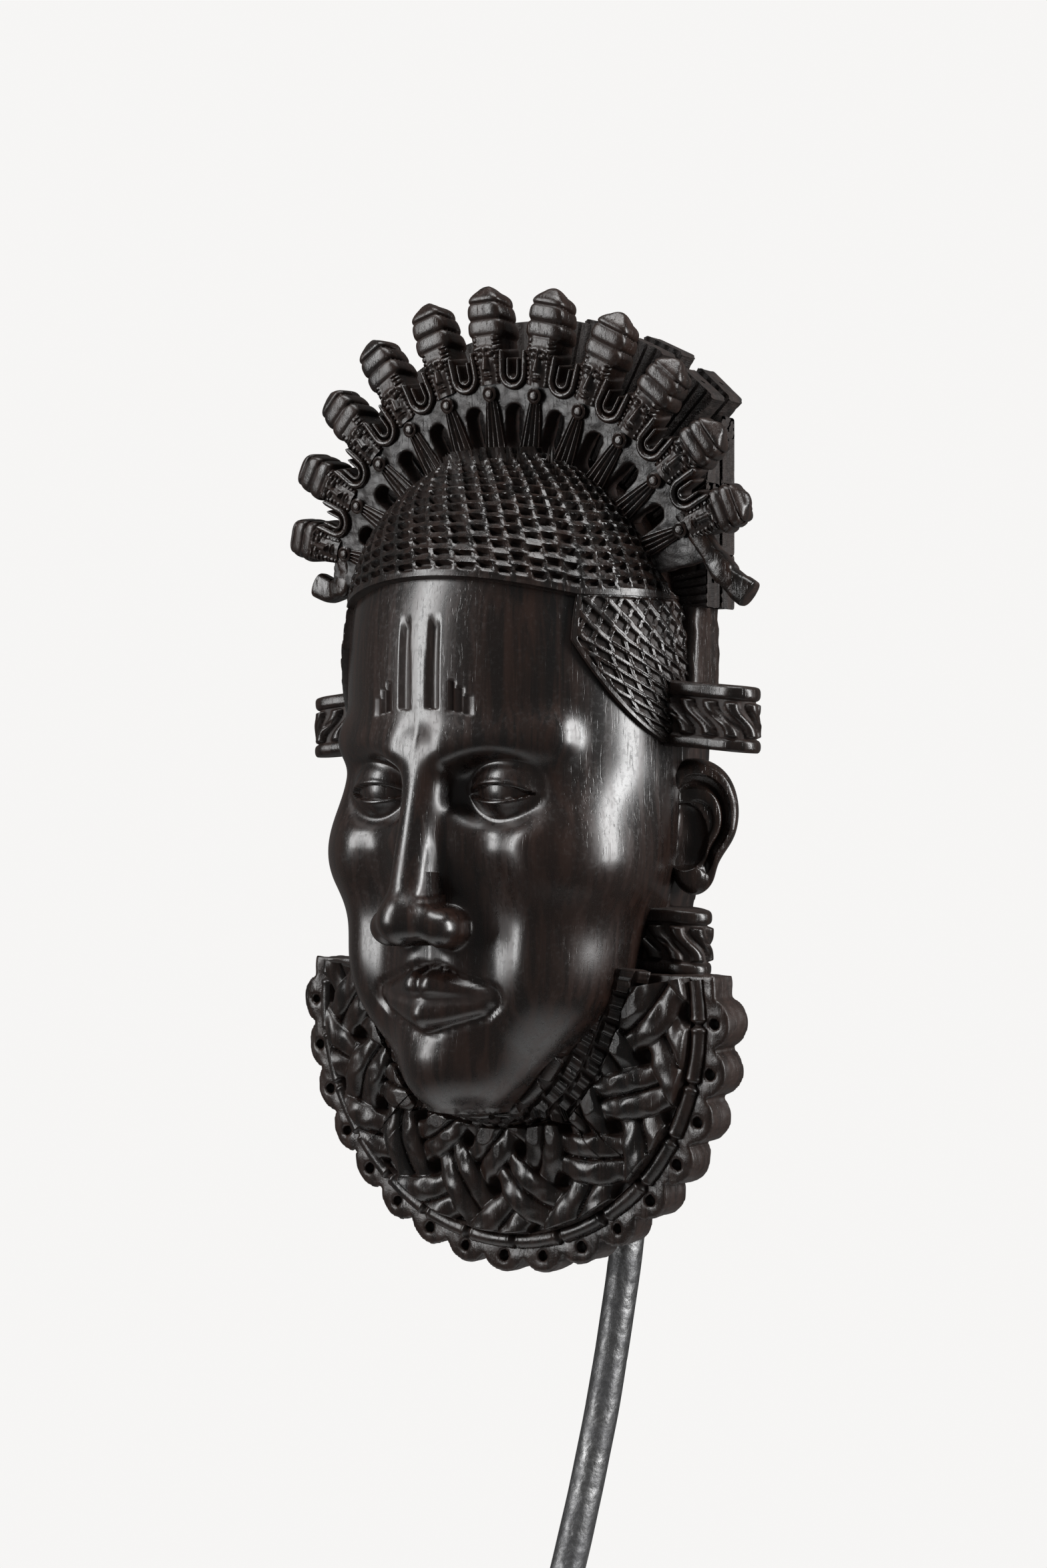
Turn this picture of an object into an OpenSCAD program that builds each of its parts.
// Carved wooden mask with a crown of small heads, a braided collar and a display stand.
// The mask looks along -Y. Heights inside the carving are counted from the collar's lowest
// edge and depths from the collar's front face; the stand starts from the floor at z = 0.

/* [Stand] */
// Diameter of the round steel rod
rod_d = 12; // [8:0.5:14]
// Diameter of the base plate
base_d = 160; // [130:5:220]
// Thickness of the base plate
base_t = 10; // [6:1:16]
// Thickness of the felt under the base plate
felt_t = 1.5; // [1:0.5:3]
// Height of the socket that holds the rod
socket_h = 26; // [18:1:40]
// Wall of the socket around the rod
socket_wall = 9; // [7:0.5:12]
// Length of the rod's straight foot above the socket
rod_foot = 3; // [1:1:20]
// Angle at which the rod leans back above its foot
rod_lean = 32; // [20:1:38]
// Radius of the rod's long bow
bow_r = 500; // [350:10:700]
// Radius of the rod's short bends
bend_r = 50; // [30:1:80]

/* [Tilt joint] */
// Thickness of the rod's flattened eye
eye_t = 8; // [5:0.5:8]
// Diameter of the pivot bolt
bolt_d = 6; // [4:0.5:8]
// Thickness of each clevis ear
clevis_t = 5; // [3:0.5:8]
// Thickness of the bar across the back
bar_t = 4; // [3:0.5:6]
// Height of the bar across the back
bar_h = 20; // [18:1:30]

/* [Head] */
// Largest half width of the head
face_r = 61; // [52:1:68]
// Height of the chin
chin_h = 56; // [50:1:64]
// Height of the widest part of the head
cheek_h = 185; // [170:1:195]
// Height of the hairline
hairline_h = 223; // [216:1:230]
// Height of the top of the head
dome_h = 273; // [266:1:284]
// Thickness of the carved wall
wall = 9; // [6:0.5:12]
// Depth of the mask behind the collar's front face
back_y = 32; // [28:1:55]
// Thickness of the carved hair
hair_t = 3; // [2:0.5:5]

/* [Collar] */
// Outer radius of the scalloped collar
collar_r = 87; // [80:1:112]
// Thickness of the collar
collar_t = 12; // [8:0.5:13]
// Number of lobes on the collar's edge
lobe_count = 17; // [13:2:21]
// Diameter of the hole in each lobe
lobe_hole_d = 4; // [2:0.5:6]
// Radius of the rounded bead inside the lobes
bead_r = 2.3; // [1.5:0.1:3]
// Height of the braided relief
braid_t = 7; // [4:0.5:10]
// Thickness of the choker along the jaw
choker_t = 7; // [5:0.5:9]

/* [Crown] */
// Number of small heads in the crown
head_count = 11; // [9:2:13]
// Angle of the lowest small head above the horizontal
head_first = 19; // [16:1:24]
// Radius of the openwork band's outer edge
gallery_r = 78; // [74:1:82]
// Length of the topmost small head
head_l = 28.8; // [24:0.2:34]
// How much shorter the lowest small heads are
head_taper = 11; // [0:0.5:12]
// Width of each small head
head_w = 11.6; // [9:0.2:13]
// Thickness of the openwork band
gallery_t = 8; // [5:0.5:10]
// Forward lean of the crown
crown_lean = 9.4; // [0:0.2:12]
// Width of the slots in the openwork band
slot_w = 6.6; // [4:0.2:8]
// Length of the slots in the openwork band
slot_l = 15; // [10:0.5:17]
// Outer radius of the blocks behind the crown
tier_r = 100; // [94:1:112]
// Half width of the low blocks beside the head
tier_side = 70; // [66:1:80]

/* [Hidden] */
$fn = 64;
WOOD = "#1c1512";
STEEL = "#3a3b3d";

running = 0.05;               // radial clearance of a turning shaft
side_gap = 0.3;               // clearance beside the eye
face_axis_y = 14;             // depth of the axis that the head is turned about
jaw_power = 2.4;              // how full the jaw is
jaw_root = 0.55;
dome_power = 3;               // how blunt the dome is
profile_steps = 14;

collar_c = collar_r;          // height of the collar's centre
lobe_pitch = 180 / (lobe_count - 1);
lobe_r = (collar_r * sin(lobe_pitch / 2)) / (1 + sin(lobe_pitch / 2)) + 0.5;
lobe_ring_r = collar_r - lobe_r;
hole_ring_r = lobe_ring_r + lobe_r * 0.35;
collar_rise = 6.6;            // straight sides above the top lobes
collar_top = collar_c + lobe_r + collar_rise;
bead_ring_r = lobe_ring_r - lobe_r * 0.3;
bead_overrun = asin((collar_top - collar_c) / bead_ring_r) - 1;

crown_c = hairline_h - 3;     // height of the crown's centre
crown_y = 5;                  // depth of the crown's front plane at its centre
gallery_in = 44;
gallery_end = 10;             // angle where the openwork band stops
head_pitch = (180 - 2 * head_first) / (head_count - 1);
slot_mid = 62;
curl_mid = gallery_r + 1.5;
curl_r = curl_mid * sin(head_pitch / 2) - head_w * 0.42 - 0.15;
curl_w = curl_r * 0.48;
stud_r = 2.4;
stud_mid = gallery_r - 5.4;
post_w = 1.3;
post_proud = 1.5;
tier_y = face_axis_y;
tier_in = gallery_in + 12;
tier_half = head_pitch / 2 - 1.5;
tier_low = asin(0.6);         // blocks below this angle stop at the straight sides
rib_w = 6;
rib_t = 12;

lug_h = 21;
lug_front = 4;
lug_depth = 16;
lug_rim = 4;
upper_lug_h = hairline_h - 48;
upper_lug_out = 90;
lower_lug_h = collar_top;
lower_lug_out = 72;
lug_in = 40;

ear_top = upper_lug_h - 4;
ear_low = lower_lug_h + lug_h + 4;
ear_h = ear_top - ear_low;
ear_flare = 40;
ear_t = 7;
ear_root_x = face_r - 6;
ear_root_y = 12;

pivot_h = 96;                 // height of the tilt pivot in the carving
pivot_back = 28;              // distance of the pivot behind the carving's back
pivot_y = back_y + pivot_back;
eye_r = 8;
rod_gap = 12;                 // the round rod stops this far from the pivot
top_lean = 25;                // forward lean of the rod's top
top_straight = 40;
mid_lean = 9;                 // lean left at the top of the long bow
clevis_r = 9;
clevis_in = eye_t / 2 + side_gap;
clevis_out = clevis_in + clevis_t;
screw_d = 3.5;
screw_len = 18;
screw_head_r = 3.6;
screw_pitch_h = bar_h / 2;
washer_t = 1.2;

socket_d = rod_d + 2 * socket_wall;
socket_z = felt_t + base_t;
foot_z = socket_z + 0.3;      // the rod stands just clear of the plate

// The rod's path in the YZ plane: centres of its three bends and the points between them
bend_start = [0, socket_z + socket_h + rod_foot];
bend_centre = bend_start + [bend_r, 0];
bow_start = bend_centre + bend_r * [-cos(rod_lean), sin(rod_lean)];
bow_centre = bow_start + bow_r * [-cos(rod_lean), sin(rod_lean)];
neck_start = bow_centre + bow_r * [cos(mid_lean), -sin(mid_lean)];
neck_centre = neck_start + bend_r * [-cos(mid_lean), sin(mid_lean)];
top_start = neck_centre + bend_r * [cos(top_lean), sin(top_lean)];
pivot_world = top_start + top_straight * [-sin(top_lean), cos(top_lean)];

mask_y = pivot_world[0] - pivot_y;   // where the carving hangs on the stand
mask_z = pivot_world[1] - pivot_h;

function head_name(i) = str("crown_head_", i < 10 ? "0" : "", i);

// ---- shapes shared by several pieces ----

// Half width of the head at height h, grown by g
function head_r(h, g = 0) = h < cheek_h
    ? (face_r + g) * pow(1 - pow((cheek_h - h) / (cheek_h - chin_h + g), jaw_power), jaw_root)
    : (face_r + g) * sqrt(1 - pow((h - cheek_h) / (dome_h - cheek_h + g), dome_power));

// Heights that sample the profile closely near both ends
function jaw_heights(g) = [for (i = [1:profile_steps])
    cheek_h - (cheek_h - chin_h + g) * cos(90 * i / profile_steps)];
function dome_heights(g) = [for (i = [1:profile_steps - 1])
    cheek_h + (dome_h - cheek_h + g) * sin(90 * i / profile_steps)];

function profile(g) = concat(
    [[0, chin_h - g]],
    [for (h = jaw_heights(g)) [head_r(h, g), h]],
    [for (h = dome_heights(g)) [head_r(h, g), h]],
    [[0, dome_h + g]]);

function outline(g) = concat(profile(g),
    [for (i = [len(profile(g)) - 2:-1:1]) [-profile(g)[i][0], profile(g)[i][1]]]);

// The head as a turned egg, grown by g
module egg(g = 0) {
    translate([0, face_axis_y, 0]) rotate_extrude($fn = 96) polygon(profile(g));
}

// The egg with its jaw standing forward, grown by g
module head(g = 0) {
    egg(g);
    translate([0, face_axis_y - 27, chin_h + 26]) sphere(r = 26 + g);
    translate([0, face_axis_y - 17, chin_h + 40]) sphere(r = 36 + g);
}

// The head's front outline as a prism between two depths
module outline_prism(y0, y1, g = 0) {
    translate([0, y1, 0]) rotate([90, 0, 0]) linear_extrude(y1 - y0) polygon(outline(g));
}

// A ring sector that faces -Y, centred on the origin
module ring(r0, r1, a0, a1, y0, y1) {
    rotate([90, 0, 0]) rotate([0, 0, a0])
        rotate_extrude(angle = a1 - a0) translate([r0, -y1]) square([r1 - r0, y1 - y0]);
}

// A round bar along Y
module pin_y(x, z, r, y0, y1) {
    translate([x, y1, z]) rotate([90, 0, 0]) cylinder(r = r, h = y1 - y0);
}

// A round bar along X
module pin_x(r, x0, x1) {
    translate([x0, 0, 0]) rotate([0, 90, 0]) cylinder(r = r, h = x1 - x0);
}

module both_sides() {
    children();
    mirror([1, 0, 0]) children();
}

module on_stand() { translate([0, mask_y, mask_z]) children(); }
module in_crown() { translate([0, crown_y, crown_c]) rotate([crown_lean, 0, 0]) children(); }
module at_pivot() { translate([0, pivot_world[0], pivot_world[1]]) children(); }
module at_angle(a) { rotate([0, 90 - a, 0]) children(); }

function head_angle(i) = head_first + (i - 1) * head_pitch;
function head_side(i) = 180 - head_angle(i);
function head_len(i) = head_l - head_taper * pow(cos(head_angle(i)), 4);

// ---- stand ----

module felt_pad() {
    color("#202020") cylinder(d = base_d - 8, h = felt_t, $fn = 128);
}

module base_plate() {
    color(STEEL) translate([0, 0, felt_t]) {
        cylinder(d = base_d, h = base_t - 1, $fn = 128);
        translate([0, 0, base_t - 1]) cylinder(d1 = base_d, d2 = base_d - 2, h = 1, $fn = 128);
    }
}

module rod_socket() {
    color(STEEL) difference() {
        translate([0, 0, socket_z]) cylinder(d = socket_d, h = socket_h);
        translate([0, 0, socket_z - 1]) cylinder(d = rod_d + 2 * running, h = socket_h + 2);
        screw_hole();
    }
}

module screw_hole() {
    translate([0, 0, socket_z + socket_h / 2]) pin_y(0, 0, bolt_d / 2, 0, socket_d);
}

module set_screw() {
    color("silver") translate([0, 0, socket_z + socket_h / 2]) difference() {
        pin_y(0, 0, bolt_d / 2, rod_d / 2 + 0.3, socket_d / 2 - 0.8);
        pin_y(0, 0, bolt_d / 4, socket_d / 2 - 3, socket_d / 2 + 1, $fn = 6);
    }
}

// One bend of the rod about a centre in the YZ plane
module rod_bend(centre, r, a0, a1) {
    translate([0, centre[0], centre[1]]) rotate([90, 0, 90]) rotate([0, 0, a0])
        rotate_extrude(angle = a1 - a0) translate([r, 0]) circle(d = rod_d, $fn = 48);
}

// A faint swelling where two bends meet
module rod_swell(at) { translate([0, at[0], at[1]]) sphere(d = rod_d + 0.1); }

module stand_rod() {
    color(STEEL) {
        translate([0, 0, foot_z]) cylinder(d = rod_d, h = bend_start[1] - foot_z);
        rod_swell(bend_start);
        rod_bend(bend_centre, bend_r, 180 - rod_lean, 180);
        rod_swell(bow_start);
        rod_bend(bow_centre, bow_r, -rod_lean, -mid_lean);
        rod_swell(neck_start);
        rod_bend(neck_centre, bend_r, -mid_lean, top_lean);
        rod_swell(top_start);
        translate([0, top_start[0], top_start[1]]) rotate([top_lean, 0, 0])
            cylinder(d = rod_d, h = top_straight - rod_gap);
    }
}

module arm_eye() {
    color(STEEL) at_pivot() difference() {
        union() {
            pin_x(eye_r, -eye_t / 2, eye_t / 2);
            rotate([top_lean, 0, 0]) intersection() {
                translate([0, 0, -rod_gap]) cylinder(d = rod_d, h = rod_gap);
                translate([-eye_t / 2, -rod_d, -rod_gap]) cube([eye_t, 2 * rod_d, rod_gap]);
            }
        }
        pin_x(bolt_d / 2 + running, -eye_t, eye_t);
    }
}

// ---- tilt joint and back bar ----

function screw_x(h) = (head_r(h) + head_r(h, -wall)) / 2;

module screw_axes() {
    for (s = [-1, 1], h = [pivot_h - screw_pitch_h / 2, pivot_h + screw_pitch_h / 2])
        translate([s * screw_x(h), 0, h]) children();
}

module back_bar() {
    low = pivot_h - bar_h / 2;
    color(STEEL) on_stand() difference() {
        translate([0, back_y + bar_t, low]) rotate([90, 0, 0]) linear_extrude(bar_t) polygon([
            [-head_r(low), 0], [head_r(low), 0],
            [head_r(low + bar_h), bar_h], [-head_r(low + bar_h), bar_h]]);
        screw_axes() pin_y(0, 0, screw_d / 2 + 0.2, back_y - 1, back_y + bar_t + 1);
    }
}

module back_bar_screws() {
    color("silver") on_stand() screw_axes() {
        pin_y(0, 0, screw_d / 2, back_y + bar_t - screw_len, back_y + bar_t);
        difference() {
            pin_y(0, 0, screw_head_r, back_y + bar_t, back_y + bar_t + 2.2);
            translate([-screw_head_r, back_y + bar_t + 1.2, -0.4])
                cube([2 * screw_head_r, 2, 0.8]);
        }
    }
}

module clevis() {
    color(STEEL) at_pivot() difference() {
        both_sides() {
            pin_x(clevis_r, clevis_in, clevis_out);
            translate([clevis_in, bar_t - pivot_back, -clevis_r])
                cube([clevis_t, pivot_back - bar_t, 2 * clevis_r]);
        }
        pin_x(bolt_d / 2, -clevis_out - 1, clevis_out + 1);
    }
}

module hex_x(x0, x1) {
    translate([x0, 0, 0]) rotate([0, 90, 0]) cylinder(r = bolt_d * 0.96, h = x1 - x0, $fn = 6);
}

module pivot_bolt() {
    reach = clevis_out + washer_t;
    color("silver") at_pivot() {
        pin_x(bolt_d / 2, -reach, reach + bolt_d + 2);
        hex_x(-reach - bolt_d * 0.66, -reach);
    }
}

module pivot_washers() {
    color("silver") at_pivot() both_sides() difference() {
        pin_x(bolt_d + 0.4, clevis_out, clevis_out + washer_t);
        pin_x(bolt_d / 2, clevis_out - 1, clevis_out + washer_t + 1);
    }
}

module pivot_nut() {
    reach = clevis_out + washer_t;
    color("silver") at_pivot() difference() {
        hex_x(reach, reach + bolt_d);
        pin_x(bolt_d / 2, reach - 1, reach + bolt_d + 1);
    }
}

// ---- head ----

module mask_shell() {
    color(WOOD) on_stand() difference() {
        outline_prism(face_axis_y, back_y);
        outline_prism(face_axis_y - 1, back_y + 1, -wall);
        screw_axes() pin_y(0, 0, screw_d / 2, back_y + bar_t - screw_len, back_y + 1);
    }
}

module front_space(y1) { translate([-200, y1 - 200, 0]) cube([400, 200, 400]); }

// The nose as a wedge with its tip at the foot
module nose() {
    base_h = chin_h + (hairline_h - chin_h) / 3;
    bridge_h = chin_h + (hairline_h - chin_h) * 0.67;
    surface_y = face_axis_y - face_r;
    for (w = [24, 14])
        translate([-w / 2, 0, 0]) rotate([90, 0, 90]) linear_extrude(w) polygon([
            [surface_y + 8, base_h - 2], [surface_y - (26 - w) * 1.1, base_h],
            [surface_y - (26 - w) * 1.3, base_h + 6], [surface_y + 4, bridge_h],
            [surface_y + 12, bridge_h]]);
}

module face() {
    color(WOOD) on_stand() difference() {
        union() {
            intersection() {
                head();
                front_space(face_axis_y);
            }
            nose();
        }
        egg(-wall);
    }
}

module hair_layer() {
    difference() {
        egg(hair_t);
        egg();
    }
}

module hair_cap() {
    color(WOOD) on_stand() intersection() {
        hair_layer();
        in_crown() translate([-100, -150, hairline_h - crown_c]) cube([200, 150, 100]);
        translate([-100, -100, hairline_h]) cube([200, 200, 100]);
    }
}

module temple_hair() {
    low = upper_lug_h + 1;
    color(WOOD) intersection() {
        hair_layer();
        rotate([90, 0, 0]) linear_extrude(120, center = true) polygon([
            [face_r * 0.75, hairline_h], [face_r * 0.75, hairline_h - 15],
            [face_r, low], [face_r + 20, low], [face_r + 20, hairline_h]]);
        front_space(face_axis_y - 3);
    }
}

module temple_hair_left() { on_stand() temple_hair(); }
module temple_hair_right() { on_stand() mirror([1, 0, 0]) temple_hair(); }

module ear() {
    color(WOOD) difference() {
        translate([ear_root_x, ear_root_y, ear_low]) rotate([0, 0, ear_flare]) difference() {
            translate([0, ear_t / 2, 0]) rotate([90, 0, 0]) linear_extrude(ear_t)
                polygon([for (a = [0:12:348])
                    [11 + (13 + 3 * sin(a)) * cos(a), ear_h / 2 * (1 + sin(a))]]);
            translate([14, -ear_t / 2 - 1, ear_h - 19]) rotate([-90, 0, 0]) cylinder(r = 9, h = 4);
        }
        outline_prism(-face_r, back_y + 30);
    }
}

module ear_left() { on_stand() ear(); }
module ear_right() { on_stand() mirror([1, 0, 0]) ear(); }

// A strap lug with a rounded outer end and a rim above and below
module lug(out, low) {
    color(WOOD) difference() {
        for (band = [[0, lug_rim, 0], [lug_rim, lug_h - lug_rim, 1.6],
                     [lug_h - lug_rim, lug_h, 0]])
            translate([0, 0, low + band[0]]) linear_extrude(band[1] - band[0]) {
                translate([lug_in, lug_front + band[2]])
                    square([out - lug_in - lug_depth / 2, lug_depth - 2 * band[2]]);
                translate([out - lug_depth / 2, lug_front + lug_depth / 2])
                    circle(r = lug_depth / 2 - band[2]);
            }
        egg(hair_t);
        outline_prism(face_axis_y - 0.01, back_y);
    }
}

module upper_lug_left() { on_stand() lug(upper_lug_out, upper_lug_h); }
module upper_lug_right() { on_stand() mirror([1, 0, 0]) lug(upper_lug_out, upper_lug_h); }
module lower_lug_left() { on_stand() lug(lower_lug_out, lower_lug_h); }
module lower_lug_right() { on_stand() mirror([1, 0, 0]) lug(lower_lug_out, lower_lug_h); }

// ---- collar ----

module choker() {
    color(WOOD) on_stand() intersection() {
        difference() {
            egg(choker_t);
            head();
        }
        translate([-100, -24, 0]) cube([200, 24, lower_lug_h]);
    }
}

module collar_plate() {
    color(WOOD) on_stand() difference() {
        translate([0, collar_t, collar_c]) rotate([90, 0, 0]) linear_extrude(collar_t) difference() {
            union() {
                circle(r = lobe_ring_r, $fn = 128);
                for (i = [0:lobe_count - 1])
                    rotate(180 + i * lobe_pitch) translate([lobe_ring_r, 0]) circle(r = lobe_r);
                translate([-hole_ring_r, 0]) square([2 * hole_ring_r, collar_top - collar_c]);
            }
            for (i = [0:lobe_count - 1])
                rotate(180 + i * lobe_pitch) translate([hole_ring_r, 0]) circle(d = lobe_hole_d, $fn = 24);
            translate([-collar_r, collar_top - collar_c]) square([2 * collar_r, collar_r]);
        }
        head();
    }
}

module collar_bead() {
    color(WOOD) on_stand() translate([0, 0, collar_c]) rotate([90, 0, 0])
        rotate([0, 0, 180 - bead_overrun])
            rotate_extrude(angle = 180 + 2 * bead_overrun, $fn = 128)
                translate([bead_ring_r, 0]) intersection() {
                    circle(r = bead_r, $fn = 32);
                    translate([-bead_r, 0]) square([2 * bead_r, bead_r]);
                }
}

module collar_braid() {
    color(WOOD) on_stand() difference() {
        translate([0, 0, collar_c]) rotate([90, 0, 0]) linear_extrude(braid_t) difference() {
            circle(r = bead_ring_r - bead_r, $fn = 128);
            translate([-collar_r, collar_top - collar_c]) square([2 * collar_r, collar_r]);
        }
        egg(choker_t);
        head();
    }
}

// ---- crown ----

module slot_2d() {
    translate([slot_mid, 0]) {
        square([slot_l - slot_w, slot_w], center = true);
        for (s = [-1, 1]) translate([s * (slot_l - slot_w) / 2, 0]) circle(d = slot_w, $fn = 24);
    }
}

module crown_gallery() {
    color(WOOD) on_stand() difference() {
        in_crown() difference() {
            ring(gallery_in, gallery_r, gallery_end, 180 - gallery_end, 0, gallery_t);
            for (i = [1:head_count - 1]) {
                a = head_angle(i) + head_pitch / 2;
                rotate([90, 0, 0]) rotate([0, 0, a]) linear_extrude(80, center = true) slot_2d();
                at_angle(a) pin_y(0, curl_mid, curl_r, -1, gallery_t + 1);
            }
        }
        egg();
    }
}

module crown_posts() {
    color(WOOD) on_stand() difference() {
        in_crown() for (i = [1:head_count]) at_angle(head_angle(i)) {
            pin_y(0, stud_mid, stud_r, -post_proud, 0, $fn = 24);
            for (s = [-1, 0, 1]) translate([s * 1.9, 0, gallery_in]) rotate([0, -s * 3, 0])
                translate([-post_w / 2, -post_proud + 0.4 * abs(s), 0])
                    cube([post_w, post_proud - 0.4 * abs(s), stud_mid - stud_r - gallery_in - 0.4]);
        }
        egg(hair_t);
    }
}

module crown_curls() {
    color(WOOD) on_stand() in_crown() for (i = [1:head_count - 1])
        at_angle(head_angle(i) + head_pitch / 2) translate([0, 0, curl_mid])
            rotate([90, 0, 0]) rotate([0, 0, 180])
                rotate_extrude(angle = 180, $fn = 48)
                    translate([curl_r - curl_w, -gallery_t]) square([curl_w, gallery_t + 1]);
}

module crown_scroll() {
    a = gallery_end;
    color(WOOD) in_crown() rotate([90, 0, 0]) translate([0, 0, -gallery_t]) linear_extrude(gallery_t)
        polygon([[(gallery_r - 16) * cos(a), (gallery_r - 16) * sin(a)],
                 [gallery_r * cos(a), gallery_r * sin(a)],
                 [gallery_r + 4, 10], [gallery_r + 10, 14], [gallery_r + 12, 6],
                 [gallery_r + 5, 3], [gallery_r - 5, 4], [gallery_r - 14, 8]]);
}

module crown_scroll_left() { on_stand() crown_scroll(); }
module crown_scroll_right() { on_stand() mirror([1, 0, 0]) crown_scroll(); }

// One small head: a bearded block under a hat of stacked bands
module small_head(len) {
    depth = gallery_t + 4;
    hat = len * 0.55;
    band = hat / 4;
    translate([-head_w * 0.42, -1, gallery_r - 4])
        cube([head_w * 0.84, depth - 1, len - hat + 4]);
    for (b = [0:3])
        translate([-head_w / 2 + 0.3 * b, -1 - 0.3 * (b % 2), gallery_r + len - hat + b * band])
            cube([head_w - 0.6 * b, depth, b == 3 ? band : band - 0.8]);
    translate([-head_w * 0.4, 0, gallery_r + len - hat])
        cube([head_w * 0.8, depth - 2, hat - 0.5]);
}

module crown_head(i) {
    color(WOOD) on_stand() in_crown() difference() {
        at_angle(head_side(i)) small_head(head_len(i));
        translate([0, gallery_t + 20, 0]) rotate([90, 0, 0]) cylinder(r = gallery_r, h = gallery_t + 40);
    }
}

// One block behind the crown: two slabs parted by a groove, on a rib from the head
module back_block(a) {
    low = min(a, 180 - a) < tier_low;
    r0 = low ? tier_side - 12 : tier_in;
    groove_y = (tier_y + back_y) / 2;
    difference() {
        union() {
            rotate([90, 0, 0]) rotate([0, 0, a - tier_half]) rotate_extrude(angle = 2 * tier_half)
                polygon([[r0, -back_y], [tier_r, -back_y], [tier_r, -groove_y - 2.5],
                         [tier_r - 4, -groove_y], [tier_r, -groove_y + 2.5],
                         [tier_r, -tier_y], [r0, -tier_y]]);
            at_angle(a) translate([-rib_w / 2, tier_y + 1, gallery_in - 12])
                cube([rib_w, rib_t, r0 - gallery_in + 16]);
        }
        if (low) for (s = [-1, 1]) translate([s * (tier_side + 50), 0, 0])
            cube([100, 200, 300], center = true);
    }
}

module crown_back_blocks() {
    color(WOOD) on_stand() difference() {
        translate([0, 0, crown_c]) for (i = [0:head_count + 1]) back_block(head_angle(i));
        outline_prism(tier_y - 1, back_y + 1);
    }
}

felt_pad();
base_plate();
rod_socket();
set_screw();
stand_rod();
arm_eye();
back_bar();
back_bar_screws();
clevis();
pivot_bolt();
pivot_washers();
pivot_nut();
mask_shell();
face();
hair_cap();
temple_hair_left();
temple_hair_right();
ear_left();
ear_right();
upper_lug_left();
upper_lug_right();
lower_lug_left();
lower_lug_right();
choker();
collar_plate();
collar_bead();
collar_braid();
crown_gallery();
crown_posts();
crown_curls();
crown_scroll_left();
crown_scroll_right();
crown_back_blocks();
for (i = [1:head_count])
    crown_head(i);
